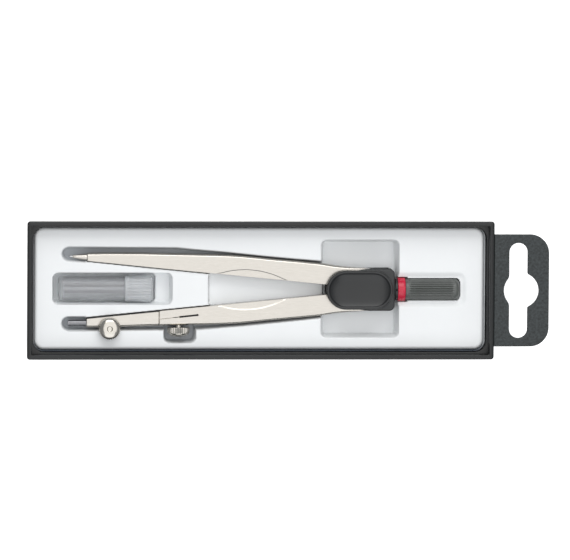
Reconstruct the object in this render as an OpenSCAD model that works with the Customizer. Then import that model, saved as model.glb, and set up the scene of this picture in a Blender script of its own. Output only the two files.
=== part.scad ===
// Drafting compass set: a black hang-sell case with a white formed insert that
// holds a two-leg compass with a lead insert and a clear tube of spare leads.
// Millimetres. Origin: centre of the underside of the whole bounding box.
// +X runs from the case to its hang tab, +Y across, +Z out of the open case.

/* [Case] */
// length of the case without its hang tab
case_length = 158; // [150:0.5:170]
// width of the case
case_width = 46.8; // [46:0.2:56]
// height of the case from underside to rim
case_height = 16; // [16:0.5:24]
// thickness of the case floor
case_floor = 1.2; // [0.8:0.1:1.2]
// width of the flat top of the rim
rim_width = 1.6; // [1.2:0.1:1.8]
// width of the lid ledge inside the rim
ledge_width = 0.6; // [0.4:0.1:0.8]
// depth of the lid ledge below the rim
ledge_depth = 0.9; // [0.5:0.1:2]

/* [Hang tab] */
// how far the tab stands out from the case
tab_reach = 18.6; // [17:0.2:24]
// width of the tab
tab_width = 38; // [36:0.5:44]
// thickness of the tab
tab_thickness = 1.5; // [1:0.1:2.5]
// overall length of the hang slot, across the tab
slot_length = 32.2; // [31:0.1:33]
// width of the hang slot
slot_width = 6.2; // [5.5:0.1:7]
// diameter of the round hole in the middle of the slot
slot_hole_d = 11.8; // [11:0.1:12.5]

/* [Insert] */
// height of the insert's top face above the underside
insert_top = 11; // [10.8:0.1:11.2]
// sheet thickness of the formed insert
insert_sheet = 0.75; // [0.5:0.05:0.75]
// gap between the insert's skirt and the case wall
insert_gap = 0.4; // [0.2:0.1:0.6]

/* [Compass] */
// thickness of the two legs
leg_thickness = 4.2; // [3.8:0.1:4.2]
// diameter of the handle grip
grip_d = 7.2; // [6.6:0.1:7.6]
// diameter of the coloured ring
ring_d = 7.9; // [7.7:0.1:8.2]
// diameter of the two clamp knobs
knob_d = 7.5; // [7:0.1:7.8]
// diameter of the leads
lead_d = 2; // [1.8:0.1:2]

/* [Lead tube] */
// outer diameter of the lead tube
tube_d = 8.3; // [8:0.1:8.5]
// outer diameter of the tube's cap over its ribs
cap_d = 9.1; // [8.8:0.1:9.2]

/* [Hidden] */
$fn = 64;
fine = 96;
eps = 0.01;
run_gap = 0.04;
free_gap = 0.35;

// case placement
case_x0 = -(case_length + tab_reach) / 2;
case_x1 = case_x0 + case_length;
case_corner = 1;
// how much narrower the base is than the rim, on each side
case_draft = 1.25;
// height at which the sides start to lean in
draft_z = 15.5;
half_w = case_width / 2;
rim_in_corner = 0.4;
well_corner = 4;
wall_in = rim_width + ledge_width;
ledge_z = case_height - ledge_depth;

// hang tab
tab_z = case_height - 2;
tab_x1 = case_x1 + tab_reach;
tab_corner = 6.4;
tab_root = 1.2;
slot_x = case_x1 + 8.2;
hole_x = slot_x + 1;

// compass placement; the pocket outlines are moved with it
set_x = 0.4;
set_y = -0.4;
axis_y = 0;
axis_z = 9.5;
leg_z0 = axis_z - leg_thickness / 2;
leg_z1 = axis_z + leg_thickness / 2;

// insert levels and outline
insert_x0 = case_x0 + wall_in + insert_gap;
insert_x1 = case_x1 - wall_in - insert_gap;
insert_hw = half_w - wall_in - insert_gap;
insert_corner = 3.6;
channel_z = leg_z0 - 0.4;
knob_pocket_z = axis_z - knob_d / 2 - 0.5;
head_floor_z = 4.2;
grip_floor_z = axis_z - ring_d / 2 - 0.45;
tube_floor_z = case_floor + insert_sheet;
finger_z = 5;

// pivots and the geared knuckles
pivot_x = 29.6;
pivot_v = 3;
pin_d = 1.94;
pin_head_d = 3;
pin_head_t = 0.6;
gear_teeth = 12;
gear_root_r = 2.4;
gear_tip_r = 3.42;
tooth_root_w = 0.86;
tooth_tip_w = 0.2;
tooth_step = 360 / gear_teeth;

// legs: straight inner edge, slope per millimetre
inner_x = 11.6;
inner_v = 1.8;
inner_slope = 0.0984;
needle_end_x = -68.2;
pencil_end_x = -43.8;
scoop_x = -15;
scoop_rise = 2.6;
scoop_ring_r = 29;
scoop_ball_r = 60;

// head
head_x0 = 12.6;
head_x1 = 35.3;
head_w = 13.2;
cheek_gap = 0.1;
cheek_t = 1.7;
cheek_z1 = leg_z1 + cheek_gap + cheek_t;
cheek_z0 = leg_z0 - cheek_gap - cheek_t;
cover_t = 0.8;
cover_rim_h = 0.55;
cover_rim_w = 1;
shoulder_x0 = 24.5;
shoulder_x1 = 36.2;
shoulder_w = 14.6;
shoulder_r = 1.8;
bridge_x = 33.9;
neck_x1 = 36.9;
neck_d = 7.3;
spigot_d = 4.4;
spigot_x1 = 55;
cover_peg_d = 1.6;
cover_peg_h = 1.2;
cover_peg_x = 17;

// handle
ring_x1 = 39.5;
grip_x1 = 57.9;
grip_bevel = 1.3;
rib_count = 24;
rib_d = 0.5;

// lead insert and its clamp
insert_joint_gap = 0.12;
lead_v = 11.42;
lead_bore_d = lead_d + 2 * run_gap;
lead_tip_x = -74.6;
lead_back_x = -54.5;
lead_bore_x = -49.6;
lead_exit_x = -68.4;
lug_x = -60.7;
lug_v = 13.05;
lug_r = 2.7;
clamp_slit = 0.35;
clamp_slit_x = -55.6;
peg_d = 2.4;
peg_x = -38.7;
slit_x1 = -30.9;
slit_v1 = 8.6;
slit_v0 = 9.98;
slit_w = 0.7;
slit_angle = atan((slit_v0 - slit_v1) / (slit_x1 - pencil_end_x));
slit_len = (slit_x1 - pencil_end_x) / cos(slit_angle);
peg_bore_x = -36.2;

// clamp screws: one knob design
screw_d = 1.8;
lead_screw_d = 1.1;
lead_screw_gap = 0.1;
knob_rim_h = 2;
knob_dome_h = 1.2;
knob_dome_d = 6.9;
knob_neck_d = 2.3;
knob_neck_h = 0.45;
dimple_d = 2;
knurl_count = 36;
knurl_d = 0.36;
lead_screw_seat = leg_z1;
insert_screw_x = -37.2;
insert_screw_seat = 12.3;
insert_screw_in = 7.9;

// needle and its holder
needle_v = 10.85;
needle_tilt = 2.7;
holder_cone_l = 4.9;
holder_base_d = 2.3;
holder_tip_d = 1;
holder_spigot_d = 1.6;
holder_spigot_l = 7;
holder_seat = 0.08;
needle_d = 0.7;
needle_out = 1.5;
needle_in = 5;

// lead tube
tube_x0 = -77.4;
tube_x1 = -55;
tube_wall = 0.95;
tube_y = 0;
tube_z = tube_floor_z + 0.05 + cap_d / 2;
tube_neck_x = -50.8;
tube_neck_d = 7.4;
cap_x1 = -45.5;
cap_bore_d = tube_neck_d + 2 * run_gap;
cap_end_t = 1;
cap_rib_d = 0.5;
cap_rib_count = 26;
spare_x0 = -75.9;
spare_x1 = -51.5;
spare_spots = [[1.95, -0.6], [0.45, -2.05], [-1.5, -1.5], [-0.06, -0.02]];

black = [0.11, 0.12, 0.12];
soft_black = [0.17, 0.18, 0.18];
white = [0.9, 0.91, 0.92];
nickel = [0.8, 0.78, 0.74];
steel = [0.6, 0.6, 0.6];
red = [0.78, 0.12, 0.22];
clear = [0.85, 0.9, 0.92];
graphite = [0.3, 0.3, 0.32];

// ---------- shared shapes ----------

function inner_at(x) = inner_v + (inner_x - x) * inner_slope;

// flat rounded rectangle from (x0, y0) to (x1, y1)
module round_rect(x0, y0, x1, y1, r) {
  translate([x0 + r, y0])
    square([x1 - x0 - 2 * r, y1 - y0]);
  translate([x0, y0 + r])
    square([x1 - x0, y1 - y0 - 2 * r]);
  for (cx = [x0 + r, x1 - r])
    for (cy = [y0 + r, y1 - r])
      translate([cx, cy])
        circle(r = r);
}

// flat shape with two round ends along X
module stadium(x0, x1, w) {
  translate([x0 + w / 2, -w / 2])
    square([x1 - x0 - w, w]);
  for (cx = [x0 + w / 2, x1 - w / 2])
    translate([cx, 0])
      circle(d = w);
}

// a flat shape raised from z0 to z1
module slab(z0, z1) {
  translate([0, 0, z0])
    linear_extrude(height = z1 - z0)
      children();
}

// a cylinder along X
module bar_x(x0, x1, d) {
  translate([x0, 0, 0])
    rotate([0, 90, 0])
      cylinder(h = x1 - x0, d = d);
}

// the compass frame: its long axis is Y = 0 and its mid plane Z = 0
module at_compass() {
  translate([set_x, axis_y, axis_z])
    children();
}

// ---------- case ----------

// a block whose four sides lean in towards the base
module drafted_block() {
  z1 = case_height + 1;
  out = case_draft * (z1 / draft_z - 1);
  hw0 = half_w - case_draft;
  hw1 = half_w + out;
  intersection() {
    translate([case_x0 - 5, 0, 0])
      rotate([90, 0, 90])
        linear_extrude(height = case_length + 10)
          polygon([[-hw0, 0], [hw0, 0], [hw1, z1], [-hw1, z1]]);
    translate([0, case_width, 0])
      rotate([90, 0, 0])
        linear_extrude(height = 2 * case_width)
          polygon([
            [case_x0 + case_draft, 0], [case_x1 - case_draft, 0],
            [case_x1 + out, z1], [case_x0 - out, z1]
          ]);
  }
}

module case_base() {
  color(black)
    difference() {
      intersection() {
        slab(0, case_height)
          round_rect(case_x0, -half_w, case_x1, half_w, case_corner);
        drafted_block();
      }
      slab(ledge_z, case_height + 1)
        round_rect(case_x0 + rim_width, -half_w + rim_width,
                   case_x1 - rim_width, half_w - rim_width, rim_in_corner);
      slab(case_floor, case_height)
        round_rect(case_x0 + wall_in, -half_w + wall_in,
                   case_x1 - wall_in, half_w - wall_in, well_corner);
    }
}

module hang_tab() {
  hw = tab_width / 2;
  color(soft_black)
    difference() {
      slab(tab_z, tab_z + tab_thickness)
        union() {
          translate([case_x1, -hw])
            square([tab_corner, tab_width]);
          round_rect(case_x1, -hw, tab_x1, hw, tab_corner);
        }
      slab(tab_z - 1, tab_z + tab_thickness + 1)
        union() {
          translate([slot_x, 0])
            rotate(90)
              stadium(-slot_length / 2, slot_length / 2, slot_width);
          translate([hole_x, 0])
            circle(d = slot_hole_d);
        }
    }
}

// ---------- insert ----------
// Each pocket outline takes g, how far it is grown outwards.

module needle_channel(g) {
  polygon([
    [12.5 + g, 9.9 + g], [0.8, 10.65 + g], [-9, 11.5 + g], [-20.7, 12.7 + g],
    [-32.4, 13.6 + g], [-38, 14.2 + g], [-74.6, 14.4 + g], [-76 - g, 13.4 + g],
    [-76.3 - g, 12.2], [-76 - g, 10.9 - g], [-74.8, 10 - g],
    [-69, inner_at(-69) - free_gap - g], [-26, inner_at(-26) - free_gap - g],
    [12.5 + g, inner_at(12.5) - 1 - g]
  ]);
}

module pencil_channel(g) {
  polygon([
    [12.5 + g, -9.9 - g], [0.8, -11.2 - g], [-14.8, -12.45 - g], [-29.4, -13.4 - g],
    [-43, -13.6 - g], [-74.6, -13.8 - g], [-76 - g, -12.9 - g], [-76.3 - g, -11.6],
    [-76 - g, -10.2 + g], [-74.6, -9.15 + g],
    [-69, -inner_at(-69) + free_gap + g], [-26, -inner_at(-26) + free_gap + g],
    [12.5 + g, -inner_at(12.5) + 1 + g]
  ]);
}

module middle_recess(g) {
  polygon([
    [12 + g, -2.4 - g], [-25.3, -5.6 - g], [-26.5 - g, -4.6 - g],
    [-26.5 - g, 4.6 + g], [-25.3, 5.6 + g], [12 + g, 2.4 + g]
  ]);
}

module knob_well(g) {
  translate([lug_x, -lug_v])
    circle(r = knob_d / 2 + 1 + g);
}

module legs_pocket(g) {
  translate([set_x, axis_y]) {
    needle_channel(g);
    pencil_channel(g);
    middle_recess(g);
    knob_well(g);
  }
}

module knob_pocket(g) {
  translate([set_x, set_y])
    round_rect(-41.9 - g, -17.4 - g, -31.7 + g, -11, 1.7);
}

module head_pocket(g) {
  translate([set_x, set_y])
    round_rect(11.1 - g, -15.5 - g, 36.9 + g, 16.8 + g, 1.4 + g);
}

module grip_pocket(g) {
  translate([set_x, set_y])
    round_rect(33, -5 - g, 59.5 + g, 5.8 + g, 2 + g);
}

module tube_pocket(g) {
  translate([set_x, set_y])
    round_rect(-79.6 - g, -4.5 - g, -44.7 + g, 5.8 + g, 1.8 + g);
}

module finger_pocket(g) {
  translate([set_x, set_y])
    round_rect(-48, -4.5 - g, -39 + g, 5.8 + g, 1.8 + g);
}

module insert_solid() {
  t = insert_sheet;
  slab(insert_top - t, insert_top)
    round_rect(insert_x0, -insert_hw, insert_x1, insert_hw, insert_corner);
  slab(channel_z - t, insert_top - eps)
    legs_pocket(t);
  slab(knob_pocket_z - t, insert_top - eps)
    knob_pocket(t);
  slab(head_floor_z - t, insert_top - eps)
    head_pocket(t);
  slab(grip_floor_z - t, insert_top - eps)
    grip_pocket(t);
  slab(tube_floor_z - t, insert_top - eps)
    tube_pocket(t);
  slab(finger_z - t, insert_top - eps)
    finger_pocket(t);
}

module insert_skirt() {
  t = insert_sheet;
  difference() {
    slab(case_floor, insert_top - eps)
      round_rect(insert_x0, -insert_hw, insert_x1, insert_hw, insert_corner);
    slab(case_floor - 1, insert_top)
      round_rect(insert_x0 + t, -insert_hw + t, insert_x1 - t, insert_hw - t,
                 insert_corner - t);
  }
}

module insert_tray() {
  high = insert_top + 1;
  color(white)
    difference() {
      union() {
        insert_solid();
        insert_skirt();
      }
      slab(channel_z, high)
        legs_pocket(0);
      slab(knob_pocket_z, high)
        knob_pocket(0);
      slab(head_floor_z, high)
        head_pocket(0);
      slab(grip_floor_z, high)
        grip_pocket(0);
      slab(tube_floor_z, high)
        tube_pocket(0);
      slab(finger_z, high)
        finger_pocket(0);
    }
}

// ---------- compass head ----------

module cheek_plan() {
  stadium(head_x0 + 0.4, head_x1, head_w - 0.8);
  round_rect(shoulder_x0, -shoulder_w / 2, shoulder_x1, shoulder_w / 2, shoulder_r);
}

module pivot_spots() {
  for (s = [-1, 1])
    translate([pivot_x, s * pivot_v, 0])
      children();
}

module head_body() {
  top = cheek_z1 - axis_z;
  gap = leg_thickness / 2 + cheek_gap;
  color(soft_black)
    at_compass()
      difference() {
        union() {
          slab(-top, top)
            cheek_plan();
          bar_x(bridge_x, neck_x1, neck_d);
          bar_x(bridge_x, spigot_x1, spigot_d);
        }
        translate([0, -head_w, -gap])
          cube([bridge_x, 2 * head_w, 2 * gap]);
        pivot_spots()
          cylinder(h = 4 * top, d = pin_d, center = true);
        pivot_spots()
          translate([0, 0, top - pin_head_t])
            cylinder(h = 2, d = pin_head_d + 2 * run_gap);
        for (s = [-1, 1])
          translate([cover_peg_x, 0, s * top])
            cylinder(h = 2 * cover_peg_h + 0.2, d = cover_peg_d + 0.04, center = true);
      }
}

// a cover with a raised rim and a flat centre, its back face at Z = 0
module head_cover() {
  difference() {
    slab(0, cover_t + cover_rim_h)
      stadium(head_x0, head_x1, head_w);
    slab(cover_t, cover_t + cover_rim_h + 1)
      stadium(head_x0 + cover_rim_w, head_x1 - cover_rim_w, head_w - 2 * cover_rim_w);
  }
  translate([cover_peg_x, 0, -cover_peg_h])
    cylinder(h = cover_peg_h + cover_t / 2, d = cover_peg_d);
}

module head_cover_front() {
  color(black)
    at_compass()
      translate([0, 0, cheek_z1 - axis_z])
        head_cover();
}

module head_cover_back() {
  color(black)
    at_compass()
      translate([0, 0, cheek_z0 - axis_z])
        mirror([0, 0, 1])
          head_cover();
}

module leg_pivots() {
  top = cheek_z1 - axis_z;
  color(steel)
    at_compass()
      pivot_spots() {
        translate([0, 0, -top])
          cylinder(h = 2 * top, d = pin_d);
        translate([0, 0, top - pin_head_t])
          cylinder(h = pin_head_t, d = pin_head_d);
      }
}

// ---------- handle ----------

module red_ring() {
  color(red)
    at_compass()
      difference() {
        bar_x(neck_x1, ring_x1, ring_d);
        bar_x(neck_x1 - 1, ring_x1 + 1, spigot_d);
      }
}

module handle_grip() {
  r = grip_d / 2;
  rib_x0 = ring_x1 + 0.8;
  rib_x1 = grip_x1 - grip_bevel - 0.6;
  color(soft_black)
    at_compass()
      difference() {
        union() {
          bar_x(ring_x1, grip_x1 - grip_bevel, grip_d);
          translate([grip_x1 - grip_bevel, 0, 0])
            rotate([0, 90, 0])
              cylinder(h = grip_bevel, d1 = grip_d, d2 = grip_d - 2 * grip_bevel);
        }
        bar_x(ring_x1 - 1, spigot_x1, spigot_d);
        for (i = [0 : rib_count - 1])
          rotate([i * 360 / rib_count, 0, 0])
            translate([0, 0, r + 0.08])
              bar_x(rib_x0, rib_x1, rib_d);
      }
}

// ---------- legs ----------

// toothed part of a knuckle; first is the angle of the first tooth
module knuckle_teeth(first, count) {
  circle(r = gear_root_r);
  for (i = [0 : count - 1])
    rotate(first + i * tooth_step)
      polygon([
        [gear_root_r - 0.4, -tooth_root_w / 2], [gear_tip_r, -tooth_tip_w / 2],
        [gear_tip_r, tooth_tip_w / 2], [gear_root_r - 0.4, tooth_root_w / 2]
      ]);
}

// plan of a leg from the knuckle to x_end, on the +Y side of the axis
module leg_plan(x_end, v_end) {
  polygon([
    [24.5, inner_at(24.5)], [27.4, 2], [29.6, 2.4], [31.8, 3.6], [31.4, 5.2],
    [29.6, 6.4], [26.6, 7.2], [22, 7.5], [19.8, 7.6], [15, 8.3], [11.1, 8.85],
    [5.3, 9.5], [-0.5, 10], [-6.3, 10.5], [-12, 11.1], [-18.2, 11.65],
    [-24, 11.85], [-29.7, 11.95], [-36, 12.1], [-43.3, 12.25],
    [x_end, v_end], [x_end, inner_at(x_end)]
  ]);
}

// shallow finger scoops along the inner edge, on both faces
module scoops() {
  lift = sqrt(scoop_ball_r * scoop_ball_r - scoop_ring_r * scoop_ring_r);
  v = inner_at(scoop_x) + scoop_rise - scoop_ring_r;
  for (s = [-1, 1])
    translate([scoop_x, v, s * (leg_thickness / 2 + lift)])
      sphere(r = scoop_ball_r, $fn = fine);
}

module needle_leg() {
  color(nickel)
    at_compass()
      difference() {
        slab(-leg_thickness / 2, leg_thickness / 2)
          union() {
            leg_plan(needle_end_x, 12.3);
            translate([pivot_x, pivot_v])
              knuckle_teeth(-105, 4);
          }
        translate([pivot_x, pivot_v, 0])
          cylinder(h = 10, d = pin_d + 2 * run_gap, center = true);
        scoops();
        needle_line()
          bar_x(-0.5, holder_spigot_l + 0.3, holder_spigot_d + 0.04);
        // the end tapers in thickness
        for (s = [-1, 1])
          translate([needle_end_x, 0, s * leg_thickness / 2])
            rotate([0, s * 2.2, 0])
              translate([-10, 0, -0.6])
                cube([30, 30, 1.2]);
      }
}

// frame of the needle: origin at the leg's end, +X into the leg
module needle_line() {
  translate([needle_end_x, needle_v, 0])
    rotate([0, 0, -needle_tilt])
      children();
}

module needle_holder() {
  color(nickel)
    at_compass()
      needle_line()
        difference() {
          union() {
            bar_x(-holder_seat, holder_spigot_l, holder_spigot_d);
            translate([-holder_cone_l, 0, 0])
              rotate([0, 90, 0])
                cylinder(h = holder_cone_l - holder_seat, d1 = holder_tip_d,
                         d2 = holder_base_d);
          }
          bar_x(-holder_cone_l - 1, needle_in, needle_d);
        }
}

module needle() {
  color(steel)
    at_compass()
      needle_line() {
        bar_x(-holder_cone_l, needle_in, needle_d);
        translate([-holder_cone_l - needle_out, 0, 0])
          rotate([0, 90, 0])
            cylinder(h = needle_out, d1 = 0.06, d2 = needle_d);
      }
}

// frame of the slit: origin at the pencil leg's end, +X into the leg
module slit_line() {
  translate([pencil_end_x, -slit_v0, 0])
    rotate([0, 0, slit_angle])
      children();
}

// frame of the screw that clamps the lead insert: +Z outwards
module insert_screw_line() {
  translate([insert_screw_x, 0, 0])
    rotate([90, 0, 0])
      children();
}

module pencil_leg() {
  color(nickel)
    at_compass()
      difference() {
        mirror([0, 1, 0])
          slab(-leg_thickness / 2, leg_thickness / 2)
            union() {
              leg_plan(pencil_end_x, 12.3);
              translate([pivot_x, pivot_v])
                knuckle_teeth(-120, 4);
            }
        translate([pivot_x, -pivot_v, 0])
          cylinder(h = 10, d = pin_d + 2 * run_gap, center = true);
        mirror([0, 1, 0])
          scoops();
        slit_line() {
          translate([-1, -slit_w / 2, -5])
            cube([slit_len + 1, slit_w, 10]);
          translate([slit_len, 0, 0])
            cylinder(h = 10, d = slit_w + 0.3, center = true);
          bar_x(-1, peg_bore_x - pencil_end_x, peg_d + 0.04);
        }
        insert_screw_line()
          translate([0, 0, insert_screw_in - 0.3])
            cylinder(h = 10, d = screw_d + 2 * run_gap);
      }
}

// ---------- clamp screws ----------

// knob and shank; the knob's under face is at Z = 0, the shank goes down
module clamp_screw(shank, shank_d) {
  difference() {
    union() {
      translate([0, 0, -shank])
        cylinder(h = shank + 0.5, d = shank_d);
      cylinder(h = knob_neck_h + 0.1, d = knob_neck_d);
      translate([0, 0, knob_neck_h])
        cylinder(h = knob_rim_h, d = knob_d);
      translate([0, 0, knob_neck_h + knob_rim_h])
        cylinder(h = knob_dome_h, d1 = knob_d - 0.5, d2 = knob_dome_d - 2.4);
    }
    translate([0, 0, knob_neck_h + knob_rim_h + knob_dome_h - 0.4])
      cylinder(h = 1, d = dimple_d);
    for (i = [0 : knurl_count - 1])
      rotate(i * 360 / knurl_count)
        translate([knob_d / 2 + 0.06, 0, knob_neck_h + 0.25])
          cylinder(h = knob_rim_h - 0.5, d = knurl_d, $fn = 4);
  }
}

module insert_clamp_screw() {
  color(nickel)
    at_compass()
      insert_screw_line()
        translate([0, 0, insert_screw_seat + run_gap])
          clamp_screw(insert_screw_seat - insert_screw_in, screw_d);
}

module lead_clamp_screw() {
  color(nickel)
    at_compass()
      translate([lug_x, -lug_v, lead_screw_seat - axis_z + run_gap])
        clamp_screw(leg_thickness, lead_screw_d);
}

// ---------- lead insert ----------

module lead_insert_plan() {
  x_end = pencil_end_x - insert_joint_gap;
  polygon([
    [x_end, 7.45], [x_end, 12.3], [-52, 12.55], [-60, 12.8], [-67.4, 12.9],
    [lead_exit_x, 12.4], [lead_exit_x, inner_at(lead_exit_x) + 0.2]
  ]);
  translate([lug_x, lug_v])
    circle(r = lug_r);
}

module lead_insert() {
  color(nickel)
    at_compass()
      difference() {
        union() {
          mirror([0, 1, 0])
            slab(-leg_thickness / 2, leg_thickness / 2)
              lead_insert_plan();
          slit_line()
            bar_x(-insert_joint_gap - 1, peg_x - pencil_end_x, peg_d);
        }
        translate([0, -lead_v, 0])
          bar_x(lead_exit_x - 1, lead_bore_x, lead_bore_d);
        translate([lead_exit_x - 1, -lead_v - 6, -clamp_slit / 2])
          cube([clamp_slit_x - lead_exit_x + 1, 6, clamp_slit]);
        translate([lug_x, -lug_v, 0])
          cylinder(h = 10, d = lead_screw_d + 2 * lead_screw_gap, center = true);
      }
}

module compass_lead() {
  color(graphite)
    at_compass()
      translate([0, -lead_v, 0])
        difference() {
          bar_x(lead_tip_x, lead_back_x, lead_d);
          // chisel point, longer on the inner side
          translate([lead_tip_x, lead_d / 2 - 0.35, 0])
            rotate([0, 0, -49])
              translate([-10, -6, -3])
                cube([10, 12, 6]);
        }
}

// ---------- lead tube ----------

module at_tube() {
  translate([0, tube_y, tube_z])
    children();
}

module lead_tube() {
  color(clear)
    at_tube()
      difference() {
        union() {
          bar_x(tube_x0, tube_x1, tube_d);
          bar_x(tube_x1 - 1, tube_neck_x, tube_neck_d);
        }
        bar_x(tube_x0 + 1.2, tube_neck_x + 1, tube_d - 2 * tube_wall);
      }
}

module lead_tube_cap() {
  r = cap_d / 2;
  color(clear)
    at_tube()
      difference() {
        bar_x(tube_x1 + 0.05, cap_x1, cap_d);
        bar_x(tube_x1 - 1, cap_x1 - cap_end_t, cap_bore_d);
        for (i = [0 : cap_rib_count - 1])
          rotate([i * 360 / cap_rib_count, 0, 0])
            translate([0, 0, r + 0.08])
              bar_x(tube_x1 + 1, cap_x1 + 1, cap_rib_d);
      }
}

module spare_leads() {
  color(graphite)
    at_tube()
      for (p = spare_spots)
        translate([0, p[0], p[1]])
          bar_x(spare_x0, spare_x1, lead_d);
}

case_base();
hang_tab();
insert_tray();
head_body();
head_cover_front();
head_cover_back();
leg_pivots();
red_ring();
handle_grip();
needle_leg();
needle_holder();
needle();
pencil_leg();
insert_clamp_screw();
lead_insert();
lead_clamp_screw();
compass_lead();
lead_tube();
lead_tube_cap();
spare_leads();
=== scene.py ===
import math

import bmesh
import bpy
import numpy as np
from mathutils import Matrix, Vector


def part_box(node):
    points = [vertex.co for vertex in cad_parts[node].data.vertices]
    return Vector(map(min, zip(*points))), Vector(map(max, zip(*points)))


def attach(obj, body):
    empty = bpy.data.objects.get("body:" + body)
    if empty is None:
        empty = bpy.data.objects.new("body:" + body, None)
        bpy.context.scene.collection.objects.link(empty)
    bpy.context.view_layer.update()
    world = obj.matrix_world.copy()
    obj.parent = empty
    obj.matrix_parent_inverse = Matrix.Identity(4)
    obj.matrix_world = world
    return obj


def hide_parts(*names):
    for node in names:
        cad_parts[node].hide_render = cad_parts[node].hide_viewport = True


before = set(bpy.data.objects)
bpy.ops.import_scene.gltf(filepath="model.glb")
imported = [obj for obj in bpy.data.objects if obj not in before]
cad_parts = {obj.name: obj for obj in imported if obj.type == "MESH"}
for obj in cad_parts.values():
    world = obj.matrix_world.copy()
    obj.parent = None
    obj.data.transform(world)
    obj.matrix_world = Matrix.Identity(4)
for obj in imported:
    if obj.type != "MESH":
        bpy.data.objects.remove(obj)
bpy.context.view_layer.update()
MM = 0.001
SCENE = bpy.context.scene

# ---------------------------------------------------------------- camera
# The view is from above, leaning a little to the far left corner.
LEAN_X, LEAN_Y, HEIGHT = -0.079, 0.079, 3.0
VIEW_WIDTH = 0.1922
SENSOR_WIDTH = 36
target = Vector((-0.0013, 0.00362, 0.016))
spot = target + Vector((LEAN_X * HEIGHT, LEAN_Y * HEIGHT, HEIGHT))
away = (spot - target).normalized()
up = away.cross(Vector((1, 0, 0))).normalized()
side = up.cross(away)
cam_data = bpy.data.cameras.new("camera")
camera = bpy.data.objects.new("camera", cam_data)
SCENE.collection.objects.link(camera)
camera.matrix_world = Matrix((
    (side.x, up.x, away.x, spot.x),
    (side.y, up.y, away.y, spot.y),
    (side.z, up.z, away.z, spot.z),
    (0, 0, 0, 1)))
cam_data.sensor_width = SENSOR_WIDTH
cam_data.lens = SENSOR_WIDTH * (spot - target).length / VIEW_WIDTH
cam_data.clip_start, cam_data.clip_end = 0.01, 20
SCENE.camera = camera
SCENE.view_settings.view_transform = "Standard"

# ---------------------------------------------------------------- sizes, in millimetres
# These repeat the CAD's own figures.
SET_X, SET_Y = 0.4, -0.4
AXIS_Z = 9.5
LEG_HALF = 2.1
INNER_X, INNER_V, INNER_SLOPE = 11.6, 1.8, 0.0984
PIVOT = (29.6, 3.0)
INSERT_TOP = 11.0
TUBE_Z = 6.55
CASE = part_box("case_base")
X0, Y0 = CASE[0][0] / MM, CASE[0][1] / MM
X1, Y1 = CASE[1][0] / MM, CASE[1][1] / MM
CASE_TOP = CASE[1][2] / MM


def inner_at(x):
    return INNER_V + (INNER_X - x) * INNER_SLOPE


# ---------------------------------------------------------------- mesh helpers
def new_object(name, verts, faces, smooth_angle=35, scale=MM):
    mesh = bpy.data.meshes.new(name)
    mesh.from_pydata([[c * scale for c in v] for v in verts], [], faces)
    mesh.validate()
    obj = bpy.data.objects.new(name, mesh)
    SCENE.collection.objects.link(obj)
    tidy(obj, smooth_angle)
    return obj


def tidy(obj, smooth_angle=35):
    bm = bmesh.new()
    bm.from_mesh(obj.data)
    bmesh.ops.remove_doubles(bm, verts=bm.verts, dist=1e-6)
    bmesh.ops.dissolve_degenerate(bm, edges=bm.edges, dist=1e-7)
    bmesh.ops.recalc_face_normals(bm, faces=bm.faces)
    for f in bm.faces:
        f.smooth = True
    bm.to_mesh(obj.data)
    bm.free()
    obj.data.set_sharp_from_angle(angle=math.radians(smooth_angle))


def loft(name, rings, smooth_angle=35, cap=True, closed=False):
    """Joins rings of equal length into a skin; cap closes both ends."""
    n = len(rings[0])
    verts = [p for ring in rings for p in ring]
    faces = []
    count = len(rings) if closed else len(rings) - 1
    for i in range(count):
        a, b = i * n, ((i + 1) % len(rings)) * n
        for j in range(n):
            k = (j + 1) % n
            faces.append((a + j, a + k, b + k, b + j))
    if cap and not closed:
        faces.append(tuple(range(n - 1, -1, -1)))
        last = (len(rings) - 1) * n
        faces.append(tuple(range(last, last + n)))
    return new_object(name, verts, faces, smooth_angle)


def round_rect(x0, y0, x1, y1, r, z, steps=8):
    pts = []
    for cx, cy, a0 in ((x1 - r, y1 - r, 0), (x0 + r, y1 - r, 90),
                       (x0 + r, y0 + r, 180), (x1 - r, y0 + r, 270)):
        for i in range(steps + 1):
            a = math.radians(a0 + 90 * i / steps)
            pts.append((cx + r * math.cos(a), cy + r * math.sin(a), z))
    return pts


def stadium(x0, x1, w, z, steps=28):
    r = w / 2
    pts = []
    for cx, a0 in ((x1 - r, -90), (x0 + r, 90)):
        for i in range(steps + 1):
            a = math.radians(a0 + 180 * i / steps)
            pts.append((cx + r * math.cos(a), r * math.sin(a), z))
    return pts


def lathe_x(name, profile, segments=96, radius_at=None, smooth_angle=35, closed=False):
    """Turns (x, r) points about the X axis; radius_at may change r by angle."""
    rings = []
    for x, r in profile:
        ring = []
        for j in range(segments):
            a = 2 * math.pi * j / segments
            rr = radius_at(x, r, a) if radius_at else r
            ring.append((x, rr * math.cos(a), rr * math.sin(a)))
        rings.append(ring)
    return loft(name, rings, smooth_angle, cap=not closed, closed=closed)


def place(obj, matrix):
    obj.data.transform(matrix)
    obj.data.update()
    return obj


def at_compass(obj):
    return place(obj, Matrix.Translation((SET_X * MM, 0, AXIS_Z * MM)))


def mirror_y(obj):
    place(obj, Matrix.Scale(-1, 4, Vector((0, 1, 0))))
    tidy(obj)
    return obj


def combine(obj, other, operation):
    """Applies a boolean to obj, and removes the other object."""
    mod = obj.modifiers.new("cut", "BOOLEAN")
    mod.operation = operation
    mod.object = other
    mod.solver = "EXACT"
    graph = bpy.context.evaluated_depsgraph_get()
    mesh = bpy.data.meshes.new_from_object(obj.evaluated_get(graph))
    old = obj.data
    obj.modifiers.clear()
    obj.data = mesh
    bpy.data.meshes.remove(old)
    bpy.data.objects.remove(other)
    return obj


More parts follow.
